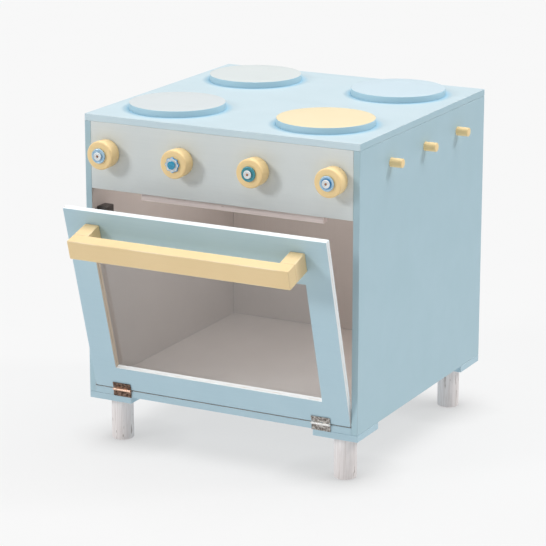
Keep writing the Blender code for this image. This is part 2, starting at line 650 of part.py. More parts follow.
def make_catch():
    """A magnetic catch on the left wall, and the steel plate it holds, on the door's back."""
    catch_z = PANEL_BOTTOM - CATCH_TOP_DROP - CATCH_HEIGHT / 2
    catch_y = FRONT + BOARD + 2 * GAP + CATCH_PLATE_THICKNESS + CATCH_DEPTH / 2
    board("magnetic_catch", CATCH_BLACK, (CATCH_WIDTH, CATCH_DEPTH, CATCH_HEIGHT),
          (-INNER_SIDE + GAP + CATCH_WIDTH / 2, catch_y, catch_z), cabinet)
    board("catch_plate", STEEL, (CATCH_PLATE_WIDTH, CATCH_PLATE_THICKNESS, CATCH_PLATE_HEIGHT),
          (-INNER_SIDE + CATCH_WIDTH / 2 + DOOR_SIDE_GAP,
           DOOR_FACE + BOARD + GAP + CATCH_PLATE_THICKNESS / 2, catch_z - HINGE_Z), door,
          CATCH_PLATE_EDGE_RADIUS)


make_carcass()
make_control_panel()
make_legs()
make_hob()
make_pegs()
make_knobs()
make_door_frame()
make_pane()
make_handle()
make_hinges()
make_catch()
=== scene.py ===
# %% [markdown]
# # A toy kitchen, painted and put under studio light
#
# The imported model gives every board, knob and hinge its place and its joint. This lesson keeps all of
# those places, swaps the plain solids for finely made pieces, and paints each one with a procedural
# material. Everything is in metres, and X runs right along the front, which looks along -Y.

# %% Load the frame
import json
import math

import bmesh
import bpy
from mathutils import Matrix, Vector, noise


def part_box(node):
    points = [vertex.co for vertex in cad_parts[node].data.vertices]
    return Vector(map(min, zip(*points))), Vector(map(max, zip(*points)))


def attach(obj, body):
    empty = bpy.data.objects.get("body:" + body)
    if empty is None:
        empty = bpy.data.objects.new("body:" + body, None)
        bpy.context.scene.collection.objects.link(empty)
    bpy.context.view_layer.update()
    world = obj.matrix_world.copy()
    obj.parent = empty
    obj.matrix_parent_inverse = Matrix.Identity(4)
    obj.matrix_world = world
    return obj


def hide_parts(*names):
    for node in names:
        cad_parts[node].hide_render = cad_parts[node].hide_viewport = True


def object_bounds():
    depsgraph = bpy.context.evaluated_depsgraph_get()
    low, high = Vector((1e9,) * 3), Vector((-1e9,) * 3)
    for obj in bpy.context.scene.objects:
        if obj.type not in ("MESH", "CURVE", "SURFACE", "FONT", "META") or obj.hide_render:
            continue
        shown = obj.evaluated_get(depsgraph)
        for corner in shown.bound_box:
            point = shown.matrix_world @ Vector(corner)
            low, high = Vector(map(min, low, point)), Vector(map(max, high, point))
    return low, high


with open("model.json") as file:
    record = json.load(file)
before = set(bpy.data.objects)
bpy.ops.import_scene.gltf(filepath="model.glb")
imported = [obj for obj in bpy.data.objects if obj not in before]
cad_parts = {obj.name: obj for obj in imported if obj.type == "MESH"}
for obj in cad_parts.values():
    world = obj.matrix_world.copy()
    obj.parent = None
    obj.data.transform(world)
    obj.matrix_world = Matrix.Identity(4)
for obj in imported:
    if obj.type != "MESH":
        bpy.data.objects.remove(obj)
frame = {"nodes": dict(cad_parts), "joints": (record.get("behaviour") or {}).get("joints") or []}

CAD_BOX = [list(corner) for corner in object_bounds()]
MM = 0.001
GAP = 0.3 * MM               # clearance that the model keeps between touching pieces

# %% [markdown]
# ## The camera
#
# A product picture of a small cupboard is taken from far off with a long lens, so that its upright
# edges stay nearly parallel. The camera comes first, because everything is judged through it.

# %% Make the camera
CAMERA_PLACE = (1.4738, -2.8140, 1.1129)
CAMERA_TURN = math.radians(27.69)        # round to the object's right
CAMERA_DIP = math.radians(15.58)         # looking down
CAMERA_LENS = 162.1                      # mm
CAMERA_SENSOR = 36.0                     # mm wide

camera_data = bpy.data.cameras.new("studio_camera")
camera_data.sensor_width = CAMERA_SENSOR
camera_data.lens = CAMERA_LENS
camera = bpy.data.objects.new("studio_camera", camera_data)
camera.location = CAMERA_PLACE
camera.rotation_euler = (math.pi / 2 - CAMERA_DIP, 0.0, CAMERA_TURN)
bpy.context.scene.collection.objects.link(camera)
bpy.context.scene.camera = camera
bpy.context.scene.view_settings.view_transform = "Standard"
print("camera at", CAMERA_PLACE)

# %% [markdown]
# ## Helpers for materials
#
# Paint makers give colours as hex codes in sRGB, while Blender's shaders want linear light. One
# function turns the first into the second. Another adds a shader node, with its settings and links, so
# that each recipe below reads as a list of layers.

# %% Colours and nodes
def linear(hex_code):
    """A hex colour in sRGB as linear red, green, blue and alpha."""
    parts = [int(hex_code[i:i + 2], 16) / 255 for i in (1, 3, 5)]
    light = [c / 12.92 if c <= 0.04045 else ((c + 0.055) / 1.055) ** 2.4 for c in parts]
    return (*light, 1.0)


def add_node(tree, kind, inputs=None, **settings):
    """Add one shader node, with its own settings and its inputs filled or linked."""
    node = tree.nodes.new("ShaderNode" + kind)
    for name, value in settings.items():
        setattr(node, name, value)
    for name, value in (inputs or {}).items():
        if isinstance(value, bpy.types.NodeSocket):
            tree.links.new(value, node.inputs[name])
        else:
            node.inputs[name].default_value = value
    return node


def start_material(name, turn=0.0, centre=(0.0, 0.0, 0.0)):
    """A new material's tree, its Principled shader, and its pattern's coordinates in metres."""
    made = bpy.data.materials.new(name)
    made.use_nodes = True
    tree = made.node_tree
    place = add_node(tree, "TexCoord").outputs["Object"]
    if turn or any(centre):
        # A TEXTURE mapping takes the pattern along with a piece that stands at centre, tipped by turn.
        place = add_node(tree, "Mapping", {"Vector": place, "Location": centre,
                                           "Rotation": (turn, 0.0, 0.0)},
                         vector_type="TEXTURE").outputs["Vector"]
    return made, tree, tree.nodes["Principled BSDF"], place


def stretched(tree, place, sizes):
    """Coordinates that count one for each of three real sizes along X, Y and Z."""
    scale = tuple(1.0 / size for size in sizes)
    return add_node(tree, "Mapping", {"Vector": place, "Scale": scale}).outputs["Vector"]


def faded(tree, value, low, high, to_low, to_high):
    """A value's range from low to high, spread over another range and held at its ends."""
    return add_node(tree, "MapRange", {"Value": value, "From Min": low, "From Max": high,
                                       "To Min": to_low, "To Max": to_high}).outputs["Result"]


def blended(tree, share, first, second):
    """Two colours mixed by a share."""
    node = add_node(tree, "Mix", data_type="RGBA")
    for socket, value in ((node.inputs[0], share), (node.inputs[6], first), (node.inputs[7], second)):
        if isinstance(value, bpy.types.NodeSocket):
            tree.links.new(value, socket)
        else:
            socket.default_value = value
    return node.outputs[2]

# %% [markdown]
# ## Brushed paint
#
# The boards are birch plywood under two coats of eggshell paint, put on with a flat brush. A brush
# leaves fine ridges along its stroke, the second coat is a little thicker in some places than in
# others, and the paint is rubbed pale along the edges. The hob's coat is drawn paler than the sides',
# its front edge paler still as a painted highlight, and the discs' sides lighter as painted light.
# Round each disc the hob turns a deeper blue that fades outwards, a painted shadow where the disc
# shades the board. The ridges are stretched noise, drawn as wide as 2.5 mm so that they show, and the
# worn edges follow an attribute that each board's mesh carries.

# %% Eggshell paint on plywood
MOTTLE = 55 * MM             # patches of thicker and thinner paint
BRUSH_LENGTH = 160 * MM
BRUSH_RIDGE = 2.5 * MM       # drawn coarser than the real 0.5 mm
BRUSH_HEIGHT = 0.4 * MM
DISC_SHADOW_REACH = 11 * MM          # how far the painted shadow round each disc reaches
DISC_SHADOW_FADE = 1.15              # above 1, the ring fades sooner
DOOR_JOINT = next(joint for joint in frame["joints"] if joint["name"] == "door_hinge")
DOOR_TILT = -math.radians(DOOR_JOINT["range_deg"][0])
STROKES = {"x": (BRUSH_LENGTH, BRUSH_RIDGE, BRUSH_RIDGE), "y": (BRUSH_RIDGE, BRUSH_LENGTH, BRUSH_RIDGE),
           "z": (BRUSH_RIDGE, BRUSH_RIDGE, BRUSH_LENGTH)}


def disc_shadow_mask(tree, place):
    """The mask of the painted shadow round the burner discs: 1 at a disc's rim, fading out to nothing.
    """
    flat = add_node(tree, "VectorMath", {0: place, 1: (1.0, 1.0, 0.0)}, operation="MULTIPLY").outputs[0]
    nearest = None
    for node in sorted(frame["nodes"]):
        if node.startswith("hob_disc_"):
            low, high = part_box(node)
            middle = (low + high) / 2
            away = add_node(tree, "VectorMath", {0: flat, 1: (middle.x, middle.y, 0.0)},
                            operation="DISTANCE").outputs["Value"]
            radius = (high.x - low.x) / 2
            near = faded(tree, away, radius, radius + DISC_SHADOW_REACH, 1.0, 0.0)
            nearest = near if nearest is None else add_node(
                tree, "Math", {0: nearest, 1: near}, operation="MAXIMUM").outputs["Value"]
    return add_node(tree, "Math", {0: nearest, 1: DISC_SHADOW_FADE}, operation="POWER").outputs["Value"]


def eggshell_paint(name, colour, thin, worn, stroke="x", turn=0.0, roughness=0.52, ridge=0.12,
                   painted_disc_shadow=None):
    """Brushed eggshell paint: a soft sheen with brush marks, thin patches and pale rubbed edges."""
    made, tree, shader, place = start_material(name, turn)
    patches = add_node(tree, "TexNoise", {"Vector": stretched(tree, place, (MOTTLE,) * 3), "Scale": 1.0,
                                          "Detail": 3.0, "Roughness": 0.55}).outputs["Fac"]
    marks = add_node(tree, "TexNoise", {"Vector": stretched(tree, place, STROKES[stroke]), "Scale": 1.0,
                                        "Detail": 4.0, "Roughness": 0.6}).outputs["Fac"]
    coat = blended(tree, faded(tree, patches, 0.35, 0.7, 0.0, 0.5), linear(colour), linear(thin))
    coat = blended(tree, faded(tree, marks, 0.35, 0.7, 0.0, 0.4), coat, linear(thin))
    # A deeper blue round each burner disc: a painted shadow where the disc shades the hob.
    if painted_disc_shadow:
        coat = blended(tree, disc_shadow_mask(tree, place), coat, linear(painted_disc_shadow))
    edge = add_node(tree, "Attribute", attribute_name="edge").outputs["Fac"]
    rubbed = add_node(tree, "Math", {0: edge, 1: faded(tree, patches, 0.4, 0.62, 0.1, 0.75)},
                      operation="MULTIPLY").outputs["Value"]
    tree.links.new(blended(tree, rubbed, coat, linear(worn)), shader.inputs["Base Color"])
    tree.links.new(faded(tree, marks, 0.3, 0.7, roughness - 0.06, roughness + 0.08),
                   shader.inputs["Roughness"])
    bump = add_node(tree, "Bump", {"Height": marks, "Strength": ridge, "Distance": BRUSH_HEIGHT})
    tree.links.new(bump.outputs["Normal"], shader.inputs["Normal"])
    return made


BLUE = ("#B0CDDA", "#B8D3DF", "#CBDFE7")
SIDE_BLUE = ("#AAC8D3", "#B2CEDA", "#C6DBE4")
MAUVE = ("#C7C1BD", "#CFC9C5", "#DAD5D1")
PAINTS = {
    # The hob's front edge is drawn paler than its top, a painted highlight for the light that edge
    # catches.
    "hob_edge_highlight": eggshell_paint("eggshell_blue_hob_edge", "#CCE2EC", "#D0E4EE", "#DDEBF2", stroke="x"),
    # The top's deeper blue round the burner discs is a painted shadow.
    "top_blue": eggshell_paint("eggshell_blue_top", "#C0D2D9", "#C8D8DF", "#D8E3E8", stroke="x",
                               painted_disc_shadow="#92C1D8"),
    # The discs' sides are drawn a lighter blue than the boards, painted light that lifts them out of
    # their shade.
    "rim_blue_painted_light": eggshell_paint("eggshell_blue_rim", "#B7D8E6", "#BBDBE8", "#C8E1EB", stroke="x"),
    "side_blue": eggshell_paint("eggshell_blue_side", *SIDE_BLUE, stroke="z"),
    "front_blue": eggshell_paint("eggshell_blue_front", *BLUE, stroke="x"),
    "door_blue": eggshell_paint("eggshell_blue_door", *BLUE, stroke="x", turn=DOOR_TILT),
    "mauve": eggshell_paint("eggshell_mauve", *MAUVE, stroke="z"),
    "door_mauve": eggshell_paint("eggshell_mauve_door", *MAUVE, stroke="x", turn=DOOR_TILT),
    "grey": eggshell_paint("eggshell_grey", "#DAE2E3", "#E1E8E9", "#ECF0F0", stroke="x"),
    "disc_front_left": eggshell_paint("eggshell_ice", "#CDD3D5", "#D0D6D7", "#D9DEDE", stroke="x"),
    "disc_front_right": eggshell_paint("eggshell_cream", "#E9D9B4", "#EBDCBA", "#F0E4C8", stroke="x"),
    "disc_back_left": eggshell_paint("eggshell_pearl", "#CFD5D5", "#D2D8D7", "#DBDFDE", stroke="x"),
    "disc_back_right": eggshell_paint("eggshell_sky", "#C4D5DE", "#C7D8E0", "#D2E0E6", stroke="x"),
    "yellow": eggshell_paint("gloss_yellow", "#FADA9E", "#FBDEA7", "#FDE7BC", stroke="z",
                             roughness=0.42),
    "handle_yellow": eggshell_paint("gloss_yellow_handle", "#EACF9C", "#F0D5A5", "#F8E7C6", stroke="x",
                                    turn=DOOR_TILT, roughness=0.42),
}
print("paints:", len(PAINTS), "- door tilt", round(math.degrees(DOOR_TILT), 1), "degrees")

# %% [markdown]
# ## Bare and washed wood
#
# The legs are pine dowels rubbed with thin white paint, so the grain stays dark in the hollows and the
# wood has fine cracks along it. The door's edges are sealed plywood, where the veneers show as thin
# brown lines, but for one edge of the window, which is raw. Both woods are noise stretched along the
# grain, at the real widths of grain and veneer.

# %% Whitewashed pine, bare pine and plywood edges
GRAIN_WIDTH = 1.6 * MM
GRAIN_LENGTH = 45 * MM
GRAIN_HEIGHT = 0.3 * MM
SPLIT_WIDTH = 2.6            # a crack's width in grains
SPLIT_LENGTH = 0.6           # and its length
VENEER = 3 * MM              # one of the three plies in a 9 mm board
VENEER_LINE = (0.3 * MM, 0.9 * MM)       # where the line between two plies starts and stops to fade
SANDING = (18 * MM, 1 * MM, 18 * MM)     # marks of the sander along the edge
SANDING_HEIGHT = 0.2 * MM


def whitewashed_pine(name, washed, bare, crack, lengthwise=2, turn=0.0):
    """Pine with a thin white wash: dry and matt, with darker grain and a few hairline cracks."""
    made, tree, shader, place = start_material(name, turn)
    sizes = [GRAIN_WIDTH] * 3
    sizes[lengthwise] = GRAIN_LENGTH
    grain = add_node(tree, "TexNoise", {"Vector": stretched(tree, place, sizes), "Scale": 1.0,
                                        "Detail": 6.0, "Roughness": 0.65}).outputs["Fac"]
    sizes = [SPLIT_WIDTH * GRAIN_WIDTH] * 3
    sizes[lengthwise] = SPLIT_LENGTH * GRAIN_LENGTH
    splits = add_node(tree, "TexNoise", {"Vector": stretched(tree, place, sizes), "Scale": 1.0,
                                         "Detail": 2.0, "Distortion": 0.4}).outputs["Fac"]
    wood = blended(tree, faded(tree, grain, 0.42, 0.68, 0.0, 0.8), linear(washed), linear(bare))
    line = faded(tree, splits, 0.67, 0.71, 0.0, 0.9)
    tree.links.new(blended(tree, line, wood, linear(crack)), shader.inputs["Base Color"])
    tree.links.new(faded(tree, grain, 0.3, 0.7, 0.68, 0.85), shader.inputs["Roughness"])
    bump = add_node(tree, "Bump", {"Height": grain, "Strength": 0.5, "Distance": GRAIN_HEIGHT})
    tree.links.new(bump.outputs["Normal"], shader.inputs["Normal"])
    return made


def sealed_edge(name, sealed, veneer, turn):
    """A sanded plywood edge under white sealer: chalky, with a faint line where two veneers meet."""
    made, tree, shader, place = start_material(name, turn, centre=tuple(DOOR_JOINT["pos_m"]))
    depth = add_node(tree, "SeparateXYZ", {"Vector": place}).outputs["Y"]
    ply = add_node(tree, "Math", {0: depth, 1: VENEER}, operation="PINGPONG").outputs["Value"]
    speckle = add_node(tree, "TexNoise", {"Vector": stretched(tree, place, SANDING), "Scale": 1.0,
                                          "Detail": 5.0}).outputs["Fac"]
    line = faded(tree, ply, *VENEER_LINE, 0.65, 0.0)
    shown = add_node(tree, "Math", {0: line, 1: faded(tree, speckle, 0.45, 0.6, 0.0, 1.0)},
                     operation="MULTIPLY").outputs["Value"]
    tree.links.new(blended(tree, shown, linear(sealed), linear(veneer)), shader.inputs["Base Color"])
    tree.links.new(faded(tree, speckle, 0.3, 0.7, 0.6, 0.75), shader.inputs["Roughness"])
    bump = add_node(tree, "Bump", {"Height": speckle, "Strength": 0.2, "Distance": SANDING_HEIGHT})
    tree.links.new(bump.outputs["Normal"], shader.inputs["Normal"])
    return made


WOODS = {
    "leg": whitewashed_pine("whitewashed_pine", "#F6F0EF", "#DDD4D1", "#9C908A"),
    "batten": whitewashed_pine("bare_pine", "#F8ECE9", "#EADCD8", "#BCAAA4", lengthwise=0),
    "edge": sealed_edge("sealed_plywood_edge", "#EAEFF1", "#C9B9A4", DOOR_TILT),
    "raw_edge": sealed_edge("raw_plywood_edge", "#CDBFAE", "#8E7459", DOOR_TILT),
}

# %% [markdown]
# ## Buttons, pane and metal
#
# The sewing buttons are cast polyester, tinted through and polished, so each has a clear coat and
# faint pearly swirls. The window is 2 mm cast acrylic: light passes it, and it mirrors a little. The
# hinges are stamped steel, one with old brass plating and one with nickel, and the barrel round each
# pin is drawn bright, a painted highlight. The catch is ABS.

# %% Polyester, acrylic, plated steel and ABS
SWIRL = 4 * MM               # size of the pearly clouds in a button
STAIN = 3 * MM               # patches of tarnish
RUB_MARKS = (6 * MM, 0.4 * MM, 0.4 * MM)
RUB_HEIGHT = 0.1 * MM
BARREL_RADIUS = 1.95 * MM    # of the hinges
SCRATCHES = (90 * MM, 0.8 * MM, 0.8 * MM)
SPARK_GRIT = 0.8 * MM        # drawn coarser than the real 0.1 mm
GRIT_HEIGHT = 0.05 * MM


def polished_polyester(name, colour, swirl):
    """Cast polyester: glassy and bright, with a slow swirl of a second tint."""
    made, tree, shader, place = start_material(name)
    cloud = add_node(tree, "TexNoise", {"Vector": stretched(tree, place, (SWIRL,) * 3), "Scale": 1.0,
                                        "Detail": 2.0, "Distortion": 1.2}).outputs["Fac"]
    tree.links.new(blended(tree, faded(tree, cloud, 0.35, 0.65, 0.0, 1.0), linear(colour),
                           linear(swirl)), shader.inputs["Base Color"])
    tree.links.new(faded(tree, cloud, 0.3, 0.7, 0.16, 0.28), shader.inputs["Roughness"])
    shader.inputs["IOR"].default_value = 1.55
    shader.inputs["Coat Weight"].default_value = 0.5
    shader.inputs["Coat Roughness"].default_value = 0.08
    return made


def plated_steel(name, bright, dull, roughness, barrel=None):
    """Stamped and plated steel: a dull shine with tarnished patches and fine rub marks. On a hinge,
    the barrel round the pin is drawn in a bright colour of its own, a painted highlight."""
    made, tree, shader, place = start_material(name)
    stain = add_node(tree, "TexNoise", {"Vector": stretched(tree, place, (STAIN,) * 3), "Scale": 1.0,
                                        "Detail": 4.0, "Roughness": 0.6}).outputs["Fac"]
    rubs = add_node(tree, "TexNoise", {"Vector": stretched(tree, place, RUB_MARKS), "Scale": 1.0,
                                       "Detail": 2.0}).outputs["Fac"]
    plate = blended(tree, faded(tree, stain, 0.4, 0.62, 0.0, 1.0), linear(bright), linear(dull))
    # A hinge's barrel gets a bright colour of its own: a painted highlight.
    if barrel:
        section = add_node(tree, "VectorMath", {0: place, 1: (0.0, 1.0, 1.0)}, operation="MULTIPLY")
        away = add_node(tree, "VectorMath", {0: section.outputs[0], 1: (0.0, *DOOR_JOINT["pos_m"][1:])},
                        operation="DISTANCE").outputs["Value"]
        near = faded(tree, away, BARREL_RADIUS, 1.15 * BARREL_RADIUS, 1.0, 0.0)
        plate = blended(tree, near, plate, linear(barrel))
    tree.links.new(plate, shader.inputs["Base Color"])
    tree.links.new(faded(tree, rubs, 0.3, 0.7, roughness - 0.08, roughness + 0.14),
                   shader.inputs["Roughness"])
    shader.inputs["Metallic"].default_value = 1.0
    bump = add_node(tree, "Bump", {"Height": rubs, "Strength": 0.15, "Distance": RUB_HEIGHT})
    tree.links.new(bump.outputs["Normal"], shader.inputs["Normal"])
    return made


def cast_acrylic(name, tint):
    """Clear cast acrylic: smooth, with hairline scratches from cleaning, and light passes through."""
    made, tree, shader, place = start_material(name, DOOR_TILT)
    fine = add_node(tree, "TexNoise", {"Vector": stretched(tree, place, SCRATCHES), "Scale": 1.0,
                                       "Detail": 3.0}).outputs["Fac"]
    tree.links.new(faded(tree, fine, 0.45, 0.7, 0.01, 0.06), shader.inputs["Roughness"])
    shader.inputs["Base Color"].default_value = linear(tint)
    shader.inputs["IOR"].default_value = 1.49
    shader.inputs["Transmission Weight"].default_value = 1.0
    lamps = add_node(tree, "LightPath").outputs["Is Shadow Ray"]
    clear = add_node(tree, "BsdfTransparent").outputs["BSDF"]
    pane = add_node(tree, "MixShader", {0: lamps, 1: shader.outputs["BSDF"], 2: clear})
    tree.links.new(pane.outputs["Shader"], tree.nodes["Material Output"].inputs["Surface"])
    return made


def moulded_abs(name, colour, worn):
    """Moulded black ABS: a fine spark-eroded texture that breaks up its sheen."""
    made, tree, shader, place = start_material(name)
    grit = add_node(tree, "TexNoise", {"Vector": stretched(tree, place, (SPARK_GRIT,) * 3), "Scale": 1.0,
                                       "Detail": 2.0}).outputs["Fac"]
    tree.links.new(blended(tree, faded(tree, grit, 0.3, 0.7, 0.0, 0.3), linear(colour),
                           linear(worn)), shader.inputs["Base Color"])
    tree.links.new(faded(tree, grit, 0.3, 0.7, 0.38, 0.55), shader.inputs["Roughness"])
    bump = add_node(tree, "Bump", {"Height": grit, "Strength": 0.3, "Distance": GRIT_HEIGHT})
    tree.links.new(bump.outputs["Normal"], shader.inputs["Normal"])
    return made


BUTTON_CASTS = {
    "blue": polished_polyester("polyester_pale_blue", "#9CC6E4", "#B8D8EC"),
    "white": polished_polyester("polyester_white", "#F4F6F6", "#E6EDF0"),
    "teal": polished_polyester("polyester_teal", "#2E8C9E", "#3FA0AE"),
    "aqua": polished_polyester("polyester_aqua", "#0086B0", "#12A2C8"),
    "royal": polished_polyester("polyester_royal_blue", "#3C8FCB", "#63ABDC"),
}
METALS = {
    # The last colour of each hinge plate is the painted highlight on its barrel.
    "brass": plated_steel("tarnished_brass_plate", "#8C7466", "#3A2C26", 0.38, "#F2CDB6"),
    "nickel": plated_steel("worn_nickel_plate", "#C2BEBA", "#6E6660", 0.30, "#F4F3F1"),
    "copper": plated_steel("copper_tack", "#B98468", "#8A5F4A", 0.32),
    "zinc": plated_steel("zinc_screw", "#BEBCB8", "#8C8882", 0.34),
}
ACRYLIC = cast_acrylic("cast_acrylic", "#F2F6F8")
BLACK_ABS = moulded_abs("black_abs", "#454240", "#575452")
print("materials made:", len(bpy.data.materials))

# %% [markdown]
# ## Helpers for shapes
#
# Most pieces are either boards or turned shapes. A board is a cube with three-step bevels, and the
# bevel's faces carry the edge attribute that the paint reads. A turned shape is half an outline, spun
# once round its axis. Each piece lies in its real place in its mesh, and rides on its body by name.

# %% Boards and turned shapes
WELD = 0.005 * MM            # points nearer than this become one
CREASE = math.radians(28)    # a turned shape is shaded sharp over steeper edges


def finish_piece(bm, name, body, materials, stands_for=(), matrix=None):
    """Turn a bmesh into a named piece that rides on a body and stands for CAD nodes."""
    if matrix is not None:
        bm.transform(matrix)
    mesh = bpy.data.meshes.new(name)
    bm.to_mesh(mesh)
    bm.free()
    piece = bpy.data.objects.new(name, mesh)
    bpy.context.scene.collection.objects.link(piece)
    for made in materials:
        mesh.materials.append(made)
    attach(piece, body)
    if stands_for:
        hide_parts(*stands_for)
    return piece


def box_between(bm, low, high):
    """Add a box to a bmesh between two corners, and return its vertices."""
    made = bmesh.ops.create_cube(bm, size=1.0)["verts"]
    bmesh.ops.scale(bm, vec=Vector(high) - Vector(low), verts=made)
    bmesh.ops.translate(bm, vec=(Vector(high) + Vector(low)) / 2, verts=made)
    return made


def ease_edges(bm, edges, radius, segments=3):
    """Bevel edges round, shade the rounding smooth, and mark it for the paint's rubbed edges."""
    mark = bm.verts.layers.float.new("edge")
    made = bmesh.ops.bevel(bm, geom=edges, offset=radius, offset_type="OFFSET", affect="EDGES",
                           segments=segments, profile=0.5, material=-1)
    rounding = set(made["faces"])
    for face in rounding:
        face.smooth = True
        for vert in face.verts:
            # A vertex that a flat face shares stays unmarked, or the mark would spread over the face.
            vert[mark] = float(rounding.issuperset(vert.link_faces))


def spun(outline, steps):
    """A bmesh turned from (radius, height) points, from the top centre down to the bottom centre."""
    bm = bmesh.new()
    verts = [bm.verts.new((radius, 0.0, height)) for radius, height in outline]
    edges = [bm.edges.new(pair) for pair in zip(verts, verts[1:])]
    bmesh.ops.spin(bm, geom=verts + edges, cent=(0, 0, 0), axis=(0, 0, 1), angle=math.tau,
                   steps=steps, use_merge=True)
    bmesh.ops.remove_doubles(bm, verts=bm.verts[:], dist=WELD)
    bmesh.ops.recalc_face_normals(bm, faces=bm.faces[:])
    for face in bm.faces:
        face.smooth = True
    for edge in bm.edges:
        if len(edge.link_faces) == 2 and edge.calc_face_angle() > CREASE:
            edge.smooth = False
    return bm


def corner(centre, radius, start, end, steps):
    """Points round an outline's corner, its angles in degrees from outwards towards up."""
    angles = [math.radians(start + (end - start) * i / steps) for i in range(steps + 1)]
    return [(centre[0] + radius * math.cos(a), centre[1] + radius * math.sin(a)) for a in angles]

# %% [markdown]
# ## The carcass
#
# The real box is glued up first and painted afterwards, blue outside and mauve grey inside, so the
# paint closes the joints between its boards. Each board here is made again over its CAD solid, with
# rounder edges, and grown a little so that the joints close to a hairline, but never past the toy's
# own box. Faces that look into the oven take the inside paint.

# %% Make the carcass boards
EDGE = 0.6 * MM
CLOSE = 0.1 * MM             # what each board grows by on each side


def painted_board(node, outside, inside, inward, top=None, front=None):
    """A board over its CAD box, with the inside paint on the faces that look along inward, and
    other paints on its top and front where they are named."""
    low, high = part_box(node)
    grow = Vector((CLOSE, 0.0, CLOSE))
    low = Vector(map(max, low - grow, CAD_BOX[0]))
    high = Vector(map(min, high + grow, CAD_BOX[1]))
    bm = bmesh.new()
    box_between(bm, low, high)
    ease_edges(bm, bm.edges[:], EDGE)
    for face in bm.faces:
        if face.normal.dot(Vector(inward)) > 0.9:
            face.material_index = 1
        elif top and face.normal.z > 0.3:
            face.material_index = 2
        elif front and face.normal.y < -0.3:
            face.material_index = 3
    paints = [PAINTS[paint] for paint in (outside, inside, top, front) if paint]
    return finish_piece(bm, node + "_painted", "cabinet", paints, [node])


# The top board's front edge takes the paler front-edge paint, a painted highlight.
painted_board("top_board", "side_blue", "mauve", (0, 0, -1), "top_blue", "hob_edge_highlight")
for node, outside, inward in (("left_side_panel", "side_blue", (1, 0, 0)),
                              ("bottom_board", "front_blue", (0, 0, 1)),
                              ("back_panel", "side_blue", (0, -1, 0))):
    piece = painted_board(node, outside, "mauve", inward)
    print(piece.name, "has", len(piece.data.polygons), "faces")
for node, outside, inward in (("right_side_panel", "side_blue", (-1, 0, 0)),
                              ("control_panel", "grey", (0, 1, 0))):
    painted_board(node, outside, "mauve", inward)
CORNERS = ("front_left", "front_right", "back_left", "back_right")
for place in CORNERS:
    painted_board("corner_pad_" + place, "front_blue", "front_blue", (0, 0, -1))
low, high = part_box("stop_batten")
bm = bmesh.new()
box_between(bm, low, high)
ease_edges(bm, bm.edges[:], EDGE)
finish_piece(bm, "stop_batten_bare", "cabinet", [WOODS["batten"]], ["stop_batten"])
print("carcass boards: 10 painted, 1 bare")

# %% [markdown]
# ## The legs
#
# Each leg is a length of 30 mm pine dowel. A saw leaves its end a little rough, a knife takes the
# corner off, and drying opens fine splits along the grain. The dowel is spun from its outline, cut into
# short bands, and its surface is moved in or out by a fraction of a millimetre where the noise says so.

# %% Turn the legs
LEG_SIDES = 96
LEG_BANDS = 14
LEG_CHAMFER = 1.1 * MM
WOBBLE = 0.14 * MM           # how far the surface wanders
SPLIT_DEPTH = 0.7 * MM
SPLIT_TURN = 0.05            # radians from a split's middle to its rim
WANDER_ROUND = 5             # noise cells round a leg
WANDER_UP = 1.5              # noise cells up a leg
# Where each split lies: its turn round the leg, and the shares of the height where it starts and ends.
SPLITS = ((0.35, 0.62, 1.0), (2.2, 0.0, 0.5), (3.9, 0.3, 0.85), (5.3, 0.72, 1.0))


def dowel_leg(node, slide):
    """A dowel with a cut corner, a wandering surface and a few splits along its grain."""
    low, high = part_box(node)
    radius = (high.x - low.x) / 2 - WOBBLE
    height = high.z - low.z
    bands = [(radius, height * (1 - i / LEG_BANDS)) for i in range(LEG_BANDS)]
    outline = [(0.0, height)] + bands + [(radius, LEG_CHAMFER), (radius - LEG_CHAMFER, 0.0), (0.0, 0.0)]
    bm = spun(outline, LEG_SIDES)
    for vert in bm.verts:
        reach = math.hypot(vert.co.x, vert.co.y)
        if reach < 0.5 * radius:
            continue
        angle = math.atan2(vert.co.y, vert.co.x) % math.tau
        up = vert.co.z / height
        spot = Vector((WANDER_ROUND * math.cos(angle), WANDER_ROUND * math.sin(angle),
                       WANDER_UP * up + slide))
        change = WOBBLE * noise.noise(spot)
        for turn, start, end in SPLITS:
            off = abs((angle - turn - slide + math.pi) % math.tau - math.pi)
            if start <= up <= end:
                change -= SPLIT_DEPTH * max(0.0, 1 - off / SPLIT_TURN)
        vert.co.x *= 1 + change / reach
        vert.co.y *= 1 + change / reach
    middle = (low + high) / 2
    return finish_piece(bm, node + "_dowel", "cabinet", [WOODS["leg"]], [node],
                        Matrix.Translation((middle.x, middle.y, low.z + GAP / 3)))


for number, place in enumerate(CORNERS):
    leg = dowel_leg("leg_" + place, 1.7 * number)
print("legs:", len(leg.data.polygons), "faces each")

# %% [markdown]
# ## The hob
#
# The four burners are discs sawn from the same plywood and glued down. They were dipped in the blue of
# the hob first, so their sides are blue, drawn lighter than the boards as painted light, and then each
# top got a colour of its own.

# %% Turn the burner discs
DISC_SIDES = 144
DISC_EDGE = 0.9 * MM


def burner_disc(place):
    """A plywood disc with a top of its own colour, and a blue rim drawn lighter as painted light."""
    low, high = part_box("hob_disc_" + place)
    radius = (high.x - low.x) / 2
    height = high.z - low.z + GAP
    outline = ([(0.0, height), (radius * 0.6, height)]
               + corner((radius - DISC_EDGE, height - DISC_EDGE), DISC_EDGE, 90, 0, 4)
               + [(radius, 0.0), (0.0, 0.0)])
    bm = spun(outline, DISC_SIDES)
    for face in bm.faces:
        face.material_index = 0 if face.normal.z > 0.75 else 1
    middle = (low + high) / 2
    return finish_piece(bm, "burner_" + place, "cabinet",
                        [PAINTS["disc_" + place], PAINTS["rim_blue_painted_light"]], ["hob_disc_" + place],
                        Matrix.Translation((middle.x, middle.y, low.z - GAP)))


